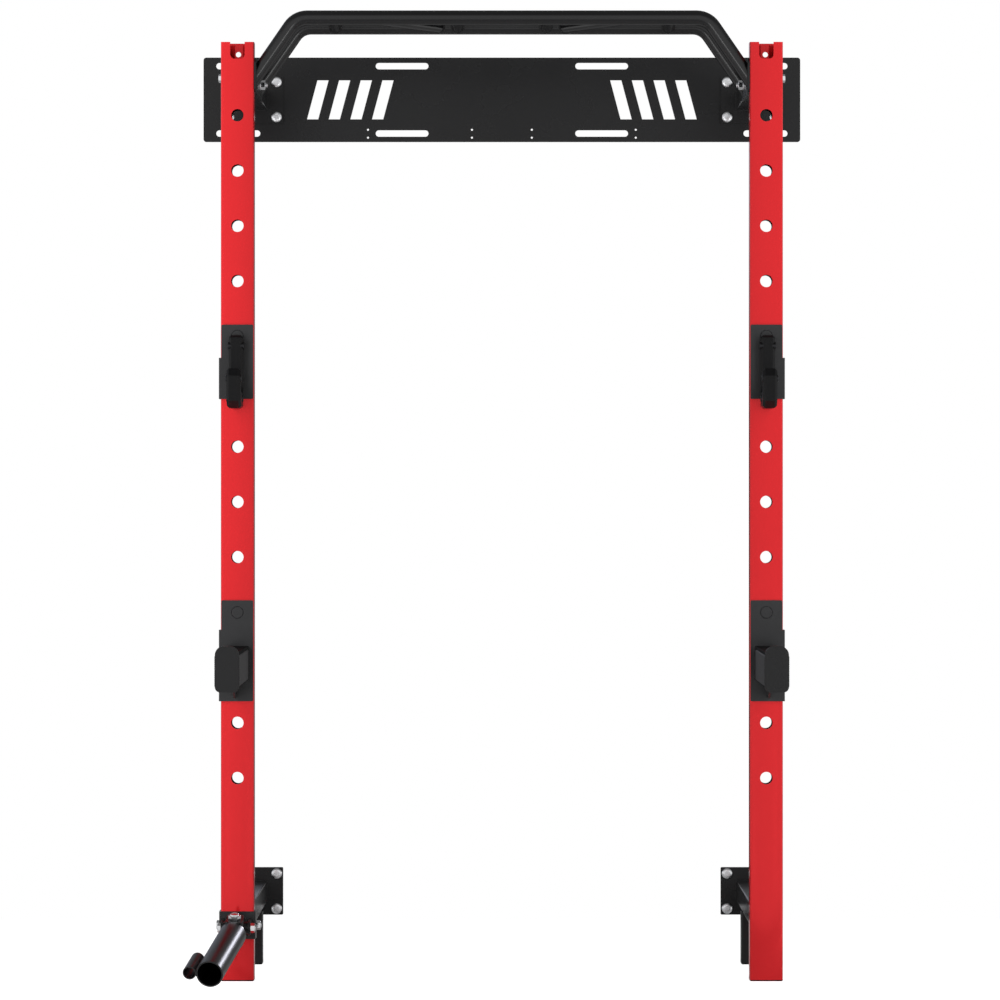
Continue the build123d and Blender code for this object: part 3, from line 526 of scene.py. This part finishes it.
# seam of a grip on a bar: round the grip, as far along it as the bar's surface,
# reach = (side * (bar^2 - z^2)^(1/2) - offset in depth) / slope in depth
def gripSeam(x, barT, way):
    w = welds
    way = np.array(way, float) / np.hypot(*way)
    aside, rise = w["gripRadius"] * np.cos(seamAngles), w["gripRadius"] * np.sin(seamAngles)
    reach = (np.sign(way[1]) * np.sqrt(w["barRadius"] ** 2 - rise ** 2) + aside * way[0]) / way[1]
    path = place(x - leftX / mm + aside * way[1] + reach * way[0], barT - aside * way[0] + reach * way[1],
                 w["barZ"] + rise)
    return weldBead(path, (*way, 0))


def makeWelds():
    w = welds
    left = []
    across, up = roundedBox(w["armWide"], w["armHigh"], w["tubeCorner"])
    for z, plateT in w["wallPlates"]:
        left += [weldBead(place(across, t, z + up), (0, 1, 0)) for t in (w["flangeT"], plateT)]
    ends = np.array([-w["legHalf"], w["legHalf"]])
    left += [weldBead(place(ends, t, w["legTop"]), (0, 0, 1), False) for t in w["legT"]]
    aside = w["barRadius"] * np.cos(seamAngles)
    rise = w["barRadius"] / w["barLean"] * np.sin(seamAngles)  # sloping bar ends meet the flanges in ovals
    left += [weldBead(place(w["flangeX"], t + aside, w["barEndZ"] + rise), (1, 0, 0)) for t in w["barT"]]
    frontT, rearT = w["barT"]
    for frontX, rearX in w["grips"]:
        way = np.array([frontX - rearX, rearT - frontT])
        left += [gripSeam(-frontX, frontT, way), gripSeam(-rearX, rearT, -way)]
    across, up = roundedBox(w["earThick"], w["earHalf"], w["earCorner"])
    ears = [weldBead(place(x + across, w["earT"], w["earZ"] + up), (0, 1, 0)) for x in w["earX"]]
    makePiece("frame_welds", left + mirrored(left) + ears, "black powder coat", "frame")
    across, up = roundedBox(w["spotterWide"], w["spotterHigh"], w["tubeCorner"])
    spotter = [weldBead(place(across, t, w["spotterZ"] + up), (0, 1, 0)) for t in w["spotterT"]]
    under, back = w["spotterZ"] - w["spotterHigh"], w["spotterT"][0]
    for x in w["gussetX"]:
        spotter.append(weldBead(place(x, back, np.array([w["gussetLow"], under])), (0, 1, 0), False))
        spotter.append(weldBead(place(x, np.array([back, w["gussetReach"]]), under), (0, 0, 1), False))
    for side, surfaces in (("left", spotter), ("right", mirrored(spotter))):
        makePiece(side + "_spotter_welds", surfaces, "black powder coat", side + "_spotter")
    yaw, pitch = math.radians(w["sleeveYaw"]), math.radians(w["sleevePitch"])
    right = np.array([math.cos(yaw), -math.sin(yaw) * math.cos(pitch), -math.sin(yaw) * math.sin(pitch)])
    along = np.array(w["sideTubeY"])[:, None] * np.cross(yawAxis, right)
    sleeve = [weldBead(yawMiddle + (w["sideTubeX"] * right + along + z * yawAxis) * mm, yawAxis, False)
              for z in w["sideTubeZ"]]
    makePiece("landmine_sleeve_welds", sleeve, "black gloss enamel", "landmine_sleeve")


makeWelds()
print("weld beads done")

# floor and background: white to the eye, plain light on the object, a dark room where gloss mirrors it
stageLook = {"floorHalf": 1.5, "floorColor": "#E2E2E2", "floorRough": 0.9, "floorTopUp": 0.8,
             "worldLight": 0.25, "darkGlow": "#2A2A2C"}
# zones of that room, each laid over the ones before: its glow and the directions between which it fades in,
# blue-grey above the horizon behind, a pale band in front, pale sides, dim above and below, and two bright
# strips; "aside" is the direction to either side
roomZones = {"back": ("#AAADB8", (("z", 0.01, 0.08),)), "right": (0.14, (("x", 0.0, 0.06),)),
             "front": (0.95, (("y", 0.1, -0.6),)), "sides": (1.0, (("aside", 0.6, 0.88), ("z", 0.45, 0.15))),
             "high": (0.2, (("z", 0.3, 0.72),)), "low": (0.4, (("z", -0.3, -0.72),)),
             "strips": (6.0, (("y", -0.3, -0.6), ("aside", 0.3, 0.36), ("aside", 0.48, 0.42),
                              ("z", -0.36, -0.3), ("z", -0.1, -0.16)))}


def makeFloor():
    half = stageLook["floorHalf"]
    mesh = bpy.data.meshes.new("studio_floor")
    corners = [(-half, -half, 0), (half, -half, 0), (half, half, 0), (-half, half, 0)]
    mesh.from_pydata(corners, [], [(0, 1, 2, 3)])
    floor = bpy.data.objects.new("studio_floor", mesh)
    bpy.context.scene.collection.objects.link(floor)
    material, tree, shader, _ = startMaterial("matt white floor")
    shader.inputs["Base Color"].default_value = hexToLinear(stageLook["floorColor"])
    shader.inputs["Roughness"].default_value = stageLook["floorRough"]
    shader.inputs["Emission Color"].default_value = (1, 1, 1, 1)
    path = addNode(tree, "ShaderNodeLightPath")
    topUp = addNode(tree, "ShaderNodeMath", {"operation": "MULTIPLY"}, {1: stageLook["floorTopUp"]},
                    {0: path.outputs["Is Camera Ray"]})
    tree.links.new(topUp.outputs["Value"], shader.inputs["Emission Strength"])
    mesh.materials.append(material)


def makeWorld():
    world = bpy.data.worlds.new("white studio")
    bpy.context.scene.world = world
    world.use_nodes = True
    tree = world.node_tree
    tree.nodes.clear()
    way = addNode(tree, "ShaderNodeSeparateXYZ",
                  links={"Vector": addNode(tree, "ShaderNodeTexCoord").outputs["Generated"]})
    ways = {axis: way.outputs[axis.upper()] for axis in "xyz"}
    aside = addNode(tree, "ShaderNodeMath", {"operation": "ABSOLUTE"}, links={0: ways["x"]})
    ways["aside"] = aside.outputs["Value"]
    mirror = None
    for glow, fades in roomZones.values():
        share = None
        for axis, begin, end in fades:
            fade = addNode(tree, "ShaderNodeMapRange", {"interpolation_type": "SMOOTHSTEP"},
                           {"From Min": begin, "From Max": end}, {"Value": ways[axis]}).outputs["Result"]
            share = fade if share is None else addNode(tree, "ShaderNodeMath", {"operation": "MULTIPLY"},
                                                       links={0: share, 1: fade}).outputs["Value"]
        glow = hexToLinear(glow) if isinstance(glow, str) else (glow, glow, glow, 1)
        zone = addNode(tree, "ShaderNodeMix", {"data_type": "RGBA"},
                       {"A": hexToLinear(stageLook["darkGlow"]), "B": glow}, {"Factor": share})
        if mirror:
            tree.links.new(mirror.outputs["Result"], zone.inputs["A"])
        mirror = zone
    path = addNode(tree, "ShaderNodeLightPath")
    plain = stageLook["worldLight"]
    lit = addNode(tree, "ShaderNodeMix", {"data_type": "RGBA"}, {"A": (plain, plain, plain, 1)},
                  {"Factor": path.outputs["Is Glossy Ray"], "B": mirror.outputs["Result"]})
    seen = addNode(tree, "ShaderNodeMath", {"operation": "MAXIMUM"},
                   links={0: path.outputs["Is Camera Ray"], 1: path.outputs["Is Transmission Ray"]})
    color = addNode(tree, "ShaderNodeMix", {"data_type": "RGBA"}, {"B": (1, 1, 1, 1)},
                    {"Factor": seen.outputs["Value"], "A": lit.outputs["Result"]})
    light = addNode(tree, "ShaderNodeBackground", links={"Color": color.outputs["Result"]})
    addNode(tree, "ShaderNodeOutputWorld", links={"Surface": light.outputs["Background"]})


# soft boxes, sizes in metres: two light the object, and one only draws a streak along the landmine
softBoxes = {"left": {"spot": (-1.5, -1.0, 1.5), "target": (-0.4, 0.2, 1.3), "size": (0.4, 3.4), "watts": 35,
                      "rays": "diffuse", "color": "#FFFFFF", "only": ""},
             "right": {"spot": (1.5, -1.0, 1.5), "target": (0.4, 0.2, 1.3), "size": (0.4, 3.4), "watts": 27,
                       "rays": "diffuse", "color": "#FFFFFF", "only": ""},
             "streak": {"spot": (2.0, 3.6, 1.9), "target": (-0.6, -0.3, 0.2), "size": (0.9, 0.7), "watts": 48,
                        "rays": "glossy", "color": "#F2F2FF", "only": "landmine"}}


def makeSoftBox(name):
    b = softBoxes[name]
    lamp = bpy.data.lights.new(name + "_soft_box", "AREA")
    lamp.shape = "RECTANGLE"
    lamp.size, lamp.size_y = b["size"]
    lamp.energy = b["watts"]
    lamp.color = hexToLinear(b["color"])[:3]
    box = bpy.data.objects.new(name + "_soft_box", lamp)
    bpy.context.scene.collection.objects.link(box)
    way = np.array(b["target"], float) - np.array(b["spot"], float)
    tilt = math.atan2(way[2], math.hypot(way[0], way[1]))
    box.location = b["spot"]
    box.rotation_euler = (math.pi / 2 + tilt, 0, math.atan2(way[1], way[0]) - math.pi / 2)
    box.visible_camera = False
    box.visible_diffuse = b["rays"] == "diffuse"
    box.visible_glossy = b["rays"] == "glossy"
    if b["only"]:  # lights just the pieces whose names start with this word
        lit = bpy.data.collections.new(name + "_pieces")
        for piece in bpy.data.objects:
            if piece.name.startswith(b["only"]):
                lit.objects.link(piece)
        box.light_linking.receiver_collection = lit


# level camera on the photograph's line of sight, far enough back for its mild perspective
cameraView = {"height": 1.1178, "distance": 11.6, "sensorMm": 36.0, "widthAtFront": 2.2628,
              "shiftX": -0.00188, "shiftY": -0.0126}


def makeCamera():
    lens = bpy.data.cameras.new("photo_camera")
    lens.sensor_width = cameraView["sensorMm"]
    lens.lens = cameraView["sensorMm"] * cameraView["distance"] / cameraView["widthAtFront"]
    lens.shift_x, lens.shift_y = cameraView["shiftX"], cameraView["shiftY"]
    camera = bpy.data.objects.new("photo_camera", lens)
    bpy.context.scene.collection.objects.link(camera)
    camera.location = (0, frontY - cameraView["distance"], cameraView["height"])
    camera.rotation_euler = (math.pi / 2, 0, 0)
    bpy.context.scene.camera = camera


makeFloor()
makeWorld()
for name in softBoxes:
    makeSoftBox(name)
makeCamera()
bpy.context.scene.view_settings.view_transform = "Standard"
print("studio ready")
